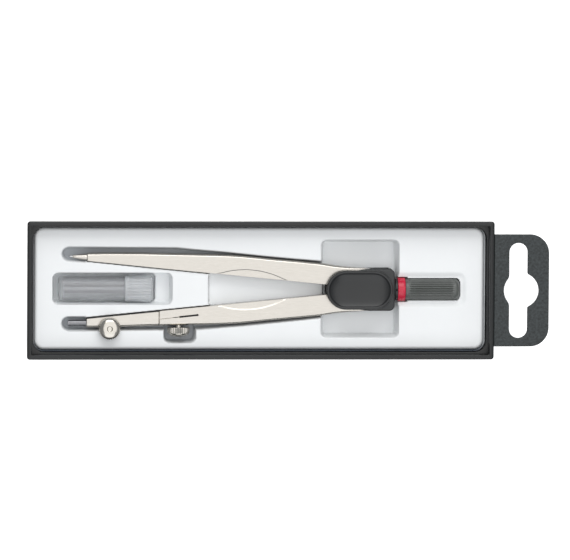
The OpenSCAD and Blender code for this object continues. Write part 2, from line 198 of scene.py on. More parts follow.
def box_object(name, lo, hi):
    (a, b, c), (d, e, f) = lo, hi
    verts = [(x, y, z) for x in (a, d) for y in (b, e) for z in (c, f)]
    faces = [(0, 1, 3, 2), (4, 6, 7, 5), (0, 4, 5, 1), (2, 3, 7, 6), (0, 2, 6, 4), (1, 5, 7, 3)]
    return new_object(name, verts, faces)


def rod_z(name, x, y, z0, z1, r, segments=64):
    rings = []
    for z in (z0, z1):
        rings.append([(x + r * math.cos(2 * math.pi * j / segments),
                       y + r * math.sin(2 * math.pi * j / segments), z) for j in range(segments)])
    return loft(name, rings)


def plate(name, loops, z0, z1, edge=0.0, segments=3):
    """A plate from flat outlines, the first the outside and the rest holes, with rounded edges."""
    curve = bpy.data.curves.new(name, "CURVE")
    curve.dimensions = "2D"
    curve.fill_mode = "BOTH"
    for pts in loops:
        spline = curve.splines.new("POLY")
        spline.points.add(len(pts) - 1)
        for p, q in zip(spline.points, pts):
            p.co = (q[0] * MM, q[1] * MM, 0, 1)
        spline.use_cyclic_u = True
    curve.extrude = ((z1 - z0) / 2 - edge) * MM
    curve.bevel_depth = edge * MM
    curve.bevel_resolution = segments
    curve.offset = -edge * MM
    temp = bpy.data.objects.new(name, curve)
    SCENE.collection.objects.link(temp)
    graph = bpy.context.evaluated_depsgraph_get()
    mesh = bpy.data.meshes.new_from_object(temp.evaluated_get(graph))
    bpy.data.objects.remove(temp)
    bpy.data.curves.remove(curve)
    mesh.transform(Matrix.Translation((0, 0, (z0 + z1) / 2 * MM)))
    obj = bpy.data.objects.new(name, mesh)
    SCENE.collection.objects.link(obj)
    tidy(obj)
    return obj


def smooth_curve(knots, x):
    """A cubic through the knots, sampled at x."""
    knots = sorted(knots)
    xs = np.array([k[0] for k in knots], float)
    ys = np.array([k[1] for k in knots], float)
    h = np.diff(xs)
    d = np.diff(ys) / h
    m = np.empty(len(xs))
    m[0], m[-1] = d[0], d[-1]
    for i in range(1, len(xs) - 1):
        m[i] = 0 if d[i - 1] * d[i] <= 0 else (h[i - 1] + h[i]) / (h[i - 1] / d[i] + h[i] / d[i - 1])
    i = int(np.clip(np.searchsorted(xs, x) - 1, 0, len(h) - 1))
    t = (x - xs[i]) / h[i]
    return ((2 * t**3 - 3 * t**2 + 1) * ys[i] + (t**3 - 2 * t**2 + t) * h[i] * m[i]
            + (3 * t**2 - 2 * t**3) * ys[i + 1] + (t**3 - t**2) * h[i] * m[i + 1])


# ---------------------------------------------------------------- materials
def material(name, color, rough, metallic=0.0, spec=0.5, ior=1.5, transmission=0.0):
    mat = bpy.data.materials.new(name)
    mat.use_nodes = True
    nodes, links = mat.node_tree.nodes, mat.node_tree.links
    shader = nodes["Principled BSDF"]
    shader.inputs["Base Color"].default_value = (*color, 1)
    shader.inputs["Roughness"].default_value = rough
    shader.inputs["Metallic"].default_value = metallic
    shader.inputs["Specular IOR Level"].default_value = spec
    shader.inputs["IOR"].default_value = ior
    shader.inputs["Transmission Weight"].default_value = transmission
    return mat, nodes, links, shader


def coords(nodes, links, scale):
    """Object coordinates, scaled along each axis."""
    place_node = nodes.new("ShaderNodeTexCoord")
    mapping = nodes.new("ShaderNodeMapping")
    mapping.inputs["Scale"].default_value = scale
    links.new(place_node.outputs["Object"], mapping.inputs["Vector"])
    return mapping.outputs["Vector"]


def noise(nodes, links, vector, scale, detail=3.0, rough=0.5):
    tex = nodes.new("ShaderNodeTexNoise")
    tex.inputs["Scale"].default_value = scale
    tex.inputs["Detail"].default_value = detail
    tex.inputs["Roughness"].default_value = rough
    links.new(vector, tex.inputs["Vector"])
    return tex.outputs["Fac"]


def ramp(nodes, links, fac, low, high, a, b):
    """Maps fac from low..high onto colours a..b."""
    node = nodes.new("ShaderNodeValToRGB")
    node.color_ramp.elements[0].position = low
    node.color_ramp.elements[0].color = (*a, 1)
    node.color_ramp.elements[1].position = high
    node.color_ramp.elements[1].color = (*b, 1)
    links.new(fac, node.inputs["Fac"])
    return node.outputs["Color"]


def spread(nodes, links, fac, lo, hi):
    node = nodes.new("ShaderNodeMapRange")
    node.inputs["To Min"].default_value = lo
    node.inputs["To Max"].default_value = hi
    links.new(fac, node.inputs["Value"])
    return node.outputs["Result"]


def bump(nodes, links, shader, height, strength, distance):
    node = nodes.new("ShaderNodeBump")
    node.inputs["Strength"].default_value = strength
    node.inputs["Distance"].default_value = distance
    links.new(height, node.inputs["Height"])
    links.new(node.outputs["Normal"], shader.inputs["Normal"])


def tint(color, factor):
    return tuple(min(1.0, c * factor) for c in color)


def plastic(name, color, rough, grain, depth, vary=0.15, spec=0.5, patch=60):
    mat, nodes, links, shader = material(name, color, rough, spec=spec)
    vec = coords(nodes, links, (1, 1, 1))
    cloud = noise(nodes, links, vec, patch, 4)
    links.new(ramp(nodes, links, cloud, 0.3, 0.7, tint(color, 1 - vary), tint(color, 1 + vary)),
              shader.inputs["Base Color"])
    fine = noise(nodes, links, vec, grain, 2, 0.6)
    links.new(spread(nodes, links, fine, rough - 0.06, rough + 0.06), shader.inputs["Roughness"])
    bump(nodes, links, shader, fine, 0.6, depth)
    return mat


def metal(name, color, rough, along=(1, 12, 12), depth=4e-6, vary=0.05):
    mat, nodes, links, shader = material(name, color, rough, metallic=1.0)
    vec = coords(nodes, links, along)
    brush = noise(nodes, links, vec, 350, 4, 0.65)
    links.new(ramp(nodes, links, brush, 0.3, 0.7, tint(color, 1 - vary), tint(color, 1 + vary)),
              shader.inputs["Base Color"])
    links.new(spread(nodes, links, brush, rough - 0.05, rough + 0.07), shader.inputs["Roughness"])
    bump(nodes, links, shader, brush, 0.35, depth)
    return mat


CASE_BLACK = plastic("case_black", (0.010, 0.011, 0.0115), 0.34, 3500, 6e-6, spec=0.42)
TAB_BLACK = plastic("tab_black", (0.028, 0.034, 0.0355), 0.62, 1500, 1.2e-4, vary=0.5, patch=1300)


def sheet_white(name):
    """White formed sheet, mixed towards a dark blue-grey by a per-vertex attribute: painted shade in the
    pockets and on the flange.
    """
    color = (0.865, 0.882, 0.892)
    mat, nodes, links, shader = material(name, color, 0.6, spec=0.3)
    vec = coords(nodes, links, (1, 1, 1))
    cloud = noise(nodes, links, vec, 90, 3)
    base = ramp(nodes, links, cloud, 0.3, 0.7, tint(color, 0.985), tint(color, 1.01))
    painted_shade = nodes.new("ShaderNodeAttribute")
    painted_shade.attribute_name = "painted_shade"
    mix = nodes.new("ShaderNodeMix")
    mix.data_type = "RGBA"
    links.new(painted_shade.outputs["Fac"], mix.inputs["Factor"])
    links.new(base, mix.inputs["A"])
    # painted shade: the dark blue-grey the sheet is mixed towards
    mix.inputs["B"].default_value = (0.085, 0.105, 0.135, 1)
    links.new(mix.outputs["Result"], shader.inputs["Base Color"])
    fine = noise(nodes, links, vec, 2600, 2, 0.6)
    links.new(spread(nodes, links, fine, 0.52, 0.68), shader.inputs["Roughness"])
    bump(nodes, links, shader, fine, 0.4, 1.2e-5)
    return mat


INSERT_WHITE = sheet_white("insert_white")
HEAD_BLACK = plastic("head_black", (0.022, 0.024, 0.025), 0.45, 3200, 8e-6)
COVER_BLACK = plastic("cover_black", (0.010, 0.011, 0.012), 0.33, 3600, 5e-6)
RING_RED = plastic("ring_red", (0.55, 0.012, 0.045), 0.28, 2500, 4e-6, vary=0.08)
GRIP_BLACK = plastic("grip_black", (0.092, 0.099, 0.094), 0.30, 3200, 8e-6)
GRAPHITE = metal("graphite", (0.20, 0.20, 0.21), 0.24, along=(1, 8, 8), depth=3e-6, vary=0.1)
NICKEL = metal("satin_nickel", (0.53, 0.505, 0.466), 0.24)
POLISHED = metal("polished_nickel", (0.54, 0.517, 0.472), 0.17, along=(1, 1, 1), depth=1e-6)
STEEL = metal("pin_steel", (0.56, 0.56, 0.56), 0.22)


def clear_plastic(name, alpha, through, rough):
    color = (0.93, 0.95, 0.97)
    mat, nodes, links, shader = material(name, color, rough, ior=1.4, transmission=through)
    vec = coords(nodes, links, (1, 1, 1))
    cloud = noise(nodes, links, vec, 300, 3)
    links.new(ramp(nodes, links, cloud, 0.3, 0.7, tint(color, 0.97), tint(color, 1.02)),
              shader.inputs["Base Color"])
    links.new(spread(nodes, links, cloud, rough - 0.03, rough + 0.03), shader.inputs["Roughness"])
    bump(nodes, links, shader, cloud, 0.15, 1e-5)
    shader.inputs["Alpha"].default_value = alpha
    return mat


CLEAR = clear_plastic("clear_plastic", 0.5, 0.72, 0.07)
CLEAR_CAP = clear_plastic("clear_cap", 0.7, 0.6, 0.1)


def finish_piece(obj, mat, body, slot, *nodes):
    obj.data.materials.clear()
    obj.data.materials.append(mat)
    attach(obj, body)
    if nodes:
        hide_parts(*nodes)
    return obj


def recolour(node, mat):
    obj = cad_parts[node]
    for slot in obj.material_slots:
        slot.material = mat


# ---------------------------------------------------------------- case
RIM, LEDGE, FLOOR = 1.6, 0.6, 1.2
# The joint beside the insert is cut deeper than the CAD's lid ledge, so that it shows black.
LEDGE_DEPTH = 4.5
DRAFT = 1.25


def inset(d, r, z):
    return round_rect(X0 + d, Y0 + d, X1 - d, Y1 - d, r, z)


wall_in = RIM + LEDGE
ledge_z = CASE_TOP - LEDGE_DEPTH
case_rings = [
    inset(DRAFT + 0.5, 0.5, 0),
    inset(DRAFT + 0.1, 0.8, 0.08),
    inset(DRAFT, 0.9, 0.4),
    inset(0.0, 1.0, CASE_TOP - 0.62),
    inset(0.04, 1.0, CASE_TOP - 0.42),
    inset(0.14, 0.95, CASE_TOP - 0.28),
    inset(0.3, 0.85, CASE_TOP - 0.2),
    inset(0.6, 0.75, CASE_TOP - 0.13),
    inset(0.95, 0.65, CASE_TOP - 0.05),
    inset(1.25, 0.55, CASE_TOP),
    inset(RIM - 0.18, 0.42, CASE_TOP - 0.03),
    inset(RIM - 0.05, 0.4, CASE_TOP - 0.14),
    inset(RIM, 0.4, CASE_TOP - 0.4),
    inset(RIM, 0.4, ledge_z),
    inset(wall_in - 0.12, 3.9, ledge_z),
    inset(wall_in - 0.03, 4.0, ledge_z - 0.05),
    inset(wall_in, 4.0, ledge_z - 0.2),
    inset(wall_in + 0.02, 4.0, FLOOR + 0.4),
    inset(wall_in + 0.3, 3.9, FLOOR),
]
case = loft("case", case_rings, 40)
finish_piece(case, CASE_BLACK, "case", "case_black", "case_base")

# ---------------------------------------------------------------- hang tab
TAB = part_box("hang_tab")
TX0, TX1, TH = TAB[0][0] / MM, TAB[1][0] / MM, TAB[1][1] / MM
TZ0, TZ1 = TAB[0][2] / MM, TAB[1][2] / MM
TAB_CORNER = 6.4
outline = [(TX0 + 0.02, TH), (TX0 + 0.02, -TH)]
for a0 in (-90, 0):
    cy = -TH + TAB_CORNER if a0 < 0 else TH - TAB_CORNER
    for i in range(17):
        a = math.radians(a0 + 90 * i / 16)
        outline.append((TX1 - TAB_CORNER + TAB_CORNER * math.cos(a), cy + TAB_CORNER * math.sin(a)))
SLOT_X, SLOT_R, SLOT_HALF = X1 + 8.2, 3.1, 16.1
HOLE_R, HOLE_SHIFT = 5.9, 1
SLOT_RUN = SLOT_HALF - SLOT_R
SOFT = 0.35  # how softly the slot's sides join the round hole


def slot_side(sign):
    """One long side of the slot with its share of the round hole, as x for each y."""
    pts = []
    for i in range(81):
        y = -SLOT_RUN + 2 * SLOT_RUN * i / 80
        x = SLOT_R
        inside = HOLE_R**2 - y * y
        if inside > 0:
            bulge = sign * HOLE_SHIFT + math.sqrt(inside)
            # a soft join between the straight side and the round hole
            x = max(SLOT_R, bulge) + SOFT * math.log(1 + math.exp(-abs(SLOT_R - bulge) / SOFT))
        pts.append((SLOT_X + sign * x, y))
    return pts


def slot_end(start, y):
    """The round end of the slot, whose arc begins at start degrees about the middle of its width at y."""
    turns = [math.radians(start + 180 * i / 16) for i in range(1, 16)]
    return [(SLOT_X + SLOT_R * math.cos(a), y + SLOT_R * math.sin(a)) for a in turns]


hole = slot_side(1) + slot_end(0, SLOT_RUN) + slot_side(-1)[::-1] + slot_end(180, -SLOT_RUN)
tab = plate("tab", [outline, hole], TZ0, TZ1, 0.28, 3)
finish_piece(tab, TAB_BLACK, "case", "tab_black", "hang_tab")

# ---------------------------------------------------------------- formed insert
IX0, IX1, IH = X0 + 2.35, X1 - 2.5, Y1 - 2.3
ICORNER = 3.7
SHIFT_X, SHIFT_Y = -0.2, 0.35  # the pressed top sits this much off the middle of its flange
BORDER = 1.65  # width of the rounded border, groove and flange round the pressed top
ROLL, ROLL_DROP = 1.1, 1.2  # width and height of the rounded border
GRID_X, GRID_Y = 520, 150


def sd_box(x, y, x0, y0, x1, y1, r):
    qx = np.abs(x - (x0 + x1) / 2) - (x1 - x0) / 2 + r
    qy = np.abs(y - (y0 + y1) / 2) - (y1 - y0) / 2 + r
    return np.hypot(np.maximum(qx, 0), np.maximum(qy, 0)) + np.minimum(np.maximum(qx, qy), 0) - r


def sd_poly(x, y, pts):
    d = np.full(x.shape, 1e9)
    inside = np.zeros(x.shape, bool)
    n = len(pts)
    for i in range(n):
        ax, ay = pts[i]
        bx, by = pts[(i + 1) % n]
        ex, ey = bx - ax, by - ay
        t = np.clip(((x - ax) * ex + (y - ay) * ey) / (ex * ex + ey * ey), 0, 1)
        d = np.minimum(d, np.hypot(x - ax - t * ex, y - ay - t * ey))
        cross = (ay > y) != (by > y)
        with np.errstate(divide="ignore", invalid="ignore"):
            hit = x < (bx - ax) * (y - ay) / (by - ay if by != ay else 1e-9) + ax
        inside ^= cross & hit
    return np.where(inside, -d, d)


def sink(surface, sd, floor, out, run, pocket_shade):
    """Presses a pocket into the sheet: its lip starts out mm outside the outline and its wall ends
    run mm inside it. The last argument is the painted shade at the pocket's floor, easing in along its
    wall."""
    height, shade_field = surface
    t = np.clip((out - sd) / (out + run), 0, 1)
    t = t * t * (3 - 2 * t)
    z = INSERT_TOP - (INSERT_TOP - floor) * t
    lower = z < height
    return np.where(lower, z, height), np.where(lower, pocket_shade * t, shade_field)


# Each leg's channel is pressed twice: wide and soft at the leg's outer side, tight at its inner side.
TIP_END = [(-75.6, 13.55), (-76.15, 12.9), (-76.35, 12.1), (-76.2, 11.3), (-75.6, 10.5), (-74.7, 10.05)]
NEEDLE_OUTER = [(12.5, 9.1), (0.8, 10.05), (-9, 10.95), (-20.7, 12.2), (-32.4, 13.2), (-38, 13.75)]
NEEDLE_OUTER += [(-74.6, 14.0)] + TIP_END
NEEDLE_OUTER += [(-69, inner_at(-69) - 0.1), (-67, 11.0), (-26, 9.5), (12.5, 6.0)]
PENCIL_OUTER = [(12.5, -9.1), (0.8, -10.35), (-14.8, -11.9), (-29.4, -13.1), (-43, -13.4), (-74.6, -13.6)]
PENCIL_OUTER += [(-75.6, -13.15), (-76.15, -12.5), (-76.35, -11.6), (-76.2, -10.6), (-75.6, -10.0)]
PENCIL_OUTER += [(-74.6, -9.6), (-69, -inner_at(-69) + 0.1), (-67, -11.0), (-26, -9.5), (12.5, -6.0)]
NEEDLE_INNER = [(12.5, 7.0), (-68, 11.2), (-68.3, inner_at(-68.3) - 0.08), (-26, inner_at(-26) - 0.08),
                (12.5, inner_at(12.5) - 1)]
PENCIL_INNER = [(x, -y) for x, y in NEEDLE_INNER]
MIDDLE = [(12, -2.4), (-25.4, -5.9), (-26.6, -5.4), (-27, -4.4)]
MIDDLE += [(-27, 4.4), (-26.6, 5.4), (-25.4, 5.9), (12, 2.4)]
CHANNEL_Z = 7.0
RING_HUG, GRIP_HUG = 4.12, 3.76  # radius of the cradle under the ring and under the grip
HUG_X0, HUG_STEP_X, HUG_X1 = 36, 40.3, 58.07


def insert_surface(x, y):
    """Height of the formed sheet at each point, and the painted shade on it."""
    cx, cy = x - SET_X, y
    outer = np.minimum(sd_poly(cx, cy, NEEDLE_OUTER), sd_poly(cx, cy, PENCIL_OUTER))
    inner = np.minimum(sd_poly(cx, cy, NEEDLE_INNER), sd_poly(cx, cy, PENCIL_INNER))
    middle = sd_poly(cx, cy, MIDDLE)
    well = np.hypot(cx + 60.7, cy + 13.05) - 3.05
    px, py = x - SET_X, y - SET_Y
    knob = sd_box(px, py, -41.9, -17.4, -31.7, -11, 1.7)
    head = sd_box(px, py, 11.4, -15.5, 36.9, 16.8, 1.4)
    dish = sd_box(px, py, 30, -5.2, 59.9, 5.8, 2.4)
    tube = sd_box(px, py, -79.6, -4.5, -44.7, 5.8, 1.9)
    finger = sd_box(px, py, -50, -4.5, -39.7, 5.8, 1.7)
    # the last figure of each press is painted shade, at its full value on the pocket's floor
    presses = (
        # outline, floor, lip outside, wall inside, painted shade
        (middle, CHANNEL_Z, 0.45, 0.4, 0.0),
        (head, 4.2, 0.6, 0.7, 0.0),
        (dish, INSERT_TOP - 0.8, 0.7, 1.4, 0.0),
        (finger, 5.0, 0.3, 0.4, 0.0),
        (tube, 1.95, 0.35, 0.5, 0.0),
        (outer, CHANNEL_Z, 0.7, 0.35, 0.58),
        (inner, CHANNEL_Z, 0.3, 0.1, 0.5),
        (well, CHANNEL_Z, 0.3, 0.3, 0.3),
        (knob, 5.25, 0.5, 0.4, 0.5),
    )
    made = (np.full(x.shape, INSERT_TOP), np.zeros(x.shape))
    for sd, floor, out, run, pocket_shade in presses:
        made = sink(made, sd, floor, out, run, pocket_shade)
    height, shade_field = made
    # the sheet hugs the underside of the ring and the grip
    end = np.clip((cx - 56.45) / 1.62, 0, 1)
    hug = np.where(cx < HUG_STEP_X, RING_HUG, GRIP_HUG - 1.6 * (1 - np.sqrt(1 - end**2)))
    cradle = AXIS_Z - np.sqrt(np.maximum(hug**2 - cy**2, 0))
    under = (cx > HUG_X0) & (cx < HUG_X1) & (np.abs(cy) < hug) & (cradle < height)
    return np.where(under, cradle, height), shade_field


def build_insert():
    """The pressed top as a fine grid, then its rounded border, groove, flange and side."""
    rc = ICORNER - BORDER
    gx0, gx1, gh = IX0 + BORDER, IX1 - BORDER, IH - BORDER
    turn = [math.radians(90 - 9 * i) for i in range(11)]
    low = [(-gh + rc * (1 - math.sin(a)), rc * (1 - math.cos(a))) for a in turn]
    middle = [(-gh + rc + (2 * gh - 2 * rc) * i / GRID_Y, 0.0) for i in range(1, GRID_Y)]
    rows = low + middle + [(-y, cut) for y, cut in reversed(low)]
    nx, ny = GRID_X, len(rows)
    u = np.linspace(0, 1, nx)
    x = np.array([gx0 + cut + u * (gx1 - gx0 - 2 * cut) for _, cut in rows]) + SHIFT_X
    y = np.array([np.full(nx, row_y) for row_y, _ in rows]) + SHIFT_Y
    z, pocket_shade = insert_surface(x, y)
    verts = list(zip(x.ravel().tolist(), y.ravel().tolist(), z.ravel().tolist()))
    shade = pocket_shade.ravel().tolist()
    faces = [(j * nx + i, j * nx + i + 1, j * nx + nx + i + 1, j * nx + nx + i)
             for j in range(ny - 1) for i in range(nx - 1)]
    rim = list(range(nx)) + [j * nx + nx - 1 for j in range(1, ny)]
    rim += [(ny - 1) * nx + i for i in range(nx - 2, -1, -1)] + [j * nx for j in range(ny - 2, 0, -1)]
    outward = []
    for i in rim:
        dx = verts[i][0] - min(max(verts[i][0], gx0 + rc + SHIFT_X), gx1 - rc + SHIFT_X)
        dy = verts[i][1] - min(max(verts[i][1], -gh + rc + SHIFT_Y), gh - rc + SHIFT_Y)
        size = math.hypot(dx, dy)
        outward.append((dx / size, dy / size))
    # each step: how far out, its level, and its share of the shift back to the middle
    border = []
    for degrees in (10, 20, 30, 40, 50, 60, 70, 80, 88):
        t = math.radians(degrees)
        border.append((ROLL * math.sin(t), INSERT_TOP - ROLL_DROP * (1 - math.cos(t)), 0))
    border += [(1.12, 9.1, 0), (1.15, 8.7, 0.1), (1.2, 8.5, 0.3), (1.26, 8.6, 0.5), (1.3, 9.0, 0.6),
               (1.34, 9.2, 0.7), (1.56, 9.25, 1), (1.61, 9.18, 1), (1.65, 9.0, 1), (1.65, 1.25, 1)]
    start, n = None, len(rim)
    for out, level, share in border:
        base = len(verts)
        for i, (dx, dy) in zip(rim, outward):
            verts.append((verts[i][0] + dx * out - SHIFT_X * share,
                          verts[i][1] + dy * out - SHIFT_Y * share, level))
        # painted shade on the groove and flange, darkest along the near (-Y) side
        shade += [(0.35 + 0.62 * max(0.0, -dy) ** 1.5) * min(1.0, 2 * share) for _, dy in outward]
        for k in range(n):
            m = (k + 1) % n
            if start is None:
                faces.append((rim[m], rim[k], base + k, base + m))
            else:
                faces.append((start + m, start + k, base + k, base + m))
        start = base
    faces.append(tuple(start + k for k in range(n)))
    obj = new_object("insert", verts, faces, 60)
    return obj, shade


insert, insert_shade = build_insert()
# the painted shade, stored per vertex for the sheet's material
field = insert.data.attributes.new("painted_shade", "FLOAT", "POINT")
field.data.foreach_set("value", insert_shade)
finish_piece(insert, INSERT_WHITE, "case", "insert_white", "insert_tray")

# ---------------------------------------------------------------- legs
OUTER = [(31.6, 5.0), (29.6, 6.3), (26.6, 7.15), (22, 7.5), (19.8, 7.65), (15, 8.25), (11.1, 8.85),
         (5.3, 9.45), (-0.5, 9.98), (-6.3, 10.5), (-12, 11.08), (-18.2, 11.6), (-24, 11.85),
         (-29.7, 11.97), (-36, 12.1), (-43.8, 12.28), (-52, 12.42), (-60, 12.42), (-68.2, 12.3)]
INSIDE = [(31.6, 3.4), (29.6, 2.4), (27.4, 2.0), (24.5, inner_at(24.5))]
SCOOP_X, SCOOP_RISE, SCOOP_R = -15, 2.6, 29
SCOOP_REACH, SCOOP_SLOPE = 0.55, 0.5  # width of the scoop's sloping side, and its drop for each mm
LIP = 0.12
FLANK = 0.95
TAPER_X = -48


def leg_inner(x):
    if x > 24.5:
        return smooth_curve(INSIDE, x)
    return inner_at(x)


def section(x, v_in, v_out, half, flank, lip, scoop=0.0, arc=0.0):
    """A closed leg section at x, from the inner edge over the top to the outer edge and back below.
    scoop is how far the finger scoop reaches in from the inner edge, and arc is where it ends."""
    reach = min(SCOOP_REACH, max(scoop, 0.0))
    drop = SCOOP_SLOPE * reach
    top = []
    for i in range(4):
        a = math.pi / 2 * i / 3
        top.append((v_in + lip * (1 - math.cos(a)), half - drop - lip * (1 - math.sin(a))))
    start = max(arc - reach, v_in + lip) if scoop > 0 else v_in + lip
    for i in range(1, 4):
        top.append((v_in + lip + (start - v_in - lip) * i / 3 + i * 1e-5, half - drop))
    for m in (0.8, 0.6, 0.42, 0.27, 0.14, 0.05, 0.0):
        d = drop * m * m * (3 - 2 * m) if scoop > 0 else 0.0
        top.append((start + reach * (1 - m) + (1 - m) * 1e-4, half - d))
    start = top[-1][0]
    stop = v_out - flank
    for i in range(1, 7):
        top.append((start + (stop - start) * i / 6, half))
    depth = min(half * 0.86, flank * 1.35)
    for i in range(1, 11):
        a = math.pi / 2 * i / 10
        top.append((v_out - flank + flank * math.sin(a), half - depth * (1 - math.cos(a))))
    ring = [(x, v, z) for v, z in top]
    ring += [(x, v, -z) for v, z in reversed(top)]
    return ring


def chamfered(rings, by):
    """The first ring pulled in, then the full one moved along by the same amount: a broken edge."""
    first = rings[0]
    cv = sum(p[1] for p in first) / len(first)
    small = [(p[0], p[1] + (by if p[1] < cv else -by), p[2] * (1 - by / LEG_HALF)) for p in first]
    full = [(p[0] + by, p[1], p[2]) for p in first]
    return [small, full] + rings[1:]


def leg_body(name, x_end, end_half):
    xs = list(np.linspace(x_end, 31.4, 190))
    rings = []
    for x in xs:
        x = float(x)
        v_in, v_out = leg_inner(x), float(smooth_curve(OUTER, x))
        half = LEG_HALF
        if end_half and x < TAPER_X:
            half = LEG_HALF - (LEG_HALF - end_half) * (TAPER_X - x) / (TAPER_X - x_end)
        flank = FLANK
        if x > 16:
            flank = max(0.35, FLANK - (x - 16) * 0.07)
        flank = min(flank, (v_out - v_in) * 0.45)
        center = inner_at(SCOOP_X) + SCOOP_RISE - SCOOP_R
        arc = center + math.sqrt(max(SCOOP_R**2 - (x - SCOOP_X) ** 2, 0))
        scoop = arc - v_in if abs(x - SCOOP_X) < 20 else 0.0
        scoop = scoop if scoop > 0.02 else 0.0
        rings.append(section(x, v_in, v_out, half, flank, LIP, scoop, arc))
    return loft(name, chamfered(rings, 0.15), 30)


GEAR_ROOT, GEAR_PITCH_R, TOOTH_RISE = 2.4, 3.0, 1.02


def knuckle(obj, first):
    """Adds a disc with four teeth at the pivot, the first at that many degrees, and cuts its hole."""
    px, pv = PIVOT
    pts = []
    for i in range(360):
        a = math.radians(i)
        r = GEAR_ROOT
        for k in range(4):
            off = (i - (first + 30 * k) + 180) % 360 - 180
            w = math.radians(abs(off)) * GEAR_PITCH_R
            r = max(r, GEAR_ROOT + TOOTH_RISE * min(1, max(0, (0.47 - w) / 0.33)))
        pts.append((px + r * math.cos(a), pv + r * math.sin(a)))
    disc = plate("teeth", [pts], -LEG_HALF, LEG_HALF, 0.0)
    combine(obj, disc, "UNION")
    combine(obj, rod_z("hole", px, pv, -5, 5, 1.01), "DIFFERENCE")
    tidy(obj, 30)
    return obj


NEEDLE_END, NEEDLE_V, NEEDLE_TURN = -68.2, 10.85, -2.7
needle_leg = knuckle(leg_body("needle_leg_body", NEEDLE_END, 1.45), -105)


def needle_line(obj):
    """Lays an object along the needle's line, which starts at the leg's end."""
    turn = Matrix.Rotation(math.radians(NEEDLE_TURN), 4, "Z")
    return at_compass(place(obj, Matrix.Translation((NEEDLE_END * MM, NEEDLE_V * MM, 0)) @ turn))


finish_piece(at_compass(needle_leg), NICKEL, "needle_leg", "satin_nickel", "needle_leg")

holder_profile = [(-4.9, 0.40), (-4.86, 0.47), (-4.7, 0.53), (-3.5, 0.70), (-1.9, 0.93), (-0.9, 1.08)]
holder_profile += [(-0.35, 1.15), (-0.16, 1.12), (-0.09, 1.0), (-0.09, 0.8), (0.3, 0.8)]
holder_profile += [(6.9, 0.8), (7.0, 0.7)]
holder = lathe_x("needle_holder_body", holder_profile, 64)
finish_piece(needle_line(holder), NICKEL, "needle_leg", "satin_nickel", "needle_holder")
point_profile = [(-6.4, 0.02), (-6.3, 0.06), (-5.7, 0.2), (-5.1, 0.32), (-4.9, 0.35)]
point_profile += [(4.9, 0.35), (5.0, 0.3)]
point = lathe_x("needle_body", point_profile, 48)
finish_piece(needle_line(point), STEEL, "needle_leg", "pin_steel", "needle")

# pencil leg: the same leg cut short, with a saw slit, a peg socket and a screw hole
SLIT_X0, SLIT_Y0, SLIT_X1, SLIT_Y1 = -43.8, -9.98, -30.9, -8.6
SLIT_ANGLE = math.atan((SLIT_Y1 - SLIT_Y0) / (SLIT_X1 - SLIT_X0))
SLIT_LEN = (SLIT_X1 - SLIT_X0) / math.cos(SLIT_ANGLE)
INSERT_SCREW_X, INSERT_SCREW_Y = -37.2, -12.34
LEAD_SCREW_X, LEAD_SCREW_Y = -60.7, -13.05
LEAD_X, LEAD_Y = -74.6, -11.42
pencil_leg = knuckle(leg_body("pencil_leg_body", SLIT_X0, 0), -120)
mirror_y(pencil_leg)


def slit_line(obj):
    """Lays an object along the slit, which starts at the pencil leg's end."""
    turn = Matrix.Rotation(SLIT_ANGLE, 4, "Z")
    return place(obj, Matrix.Translation((SLIT_X0 * MM, SLIT_Y0 * MM, 0)) @ turn)


combine(pencil_leg, slit_line(box_object("slit_thin", (-1, -0.13, -5), (7.0, 0.13, 5))), "DIFFERENCE")
combine(pencil_leg, slit_line(box_object("slit", (6.6, -0.3, -5), (SLIT_LEN, 0.3, 5))), "DIFFERENCE")
combine(pencil_leg, slit_line(rod_z("slit_end", SLIT_LEN, 0, -5, 5, 0.38)), "DIFFERENCE")
combine(pencil_leg, slit_line(lathe_x("socket", [(-1, 1.22), (7.6, 1.22)], 64)), "DIFFERENCE")
screw_hole = lathe_x("screw_hole", [(-20, 0.94), (-7.6, 0.94)], 48)
place(screw_hole, Matrix.Rotation(math.pi / 2, 4, "Z"))
place(screw_hole, Matrix.Translation((INSERT_SCREW_X * MM, 0, 0)))
combine(pencil_leg, screw_hole, "DIFFERENCE")
tidy(pencil_leg, 30)
finish_piece(at_compass(pencil_leg), NICKEL, "pencil_leg", "satin_nickel", "pencil_leg")


# ---------------------------------------------------------------- lead insert
LUG_R = 2.7


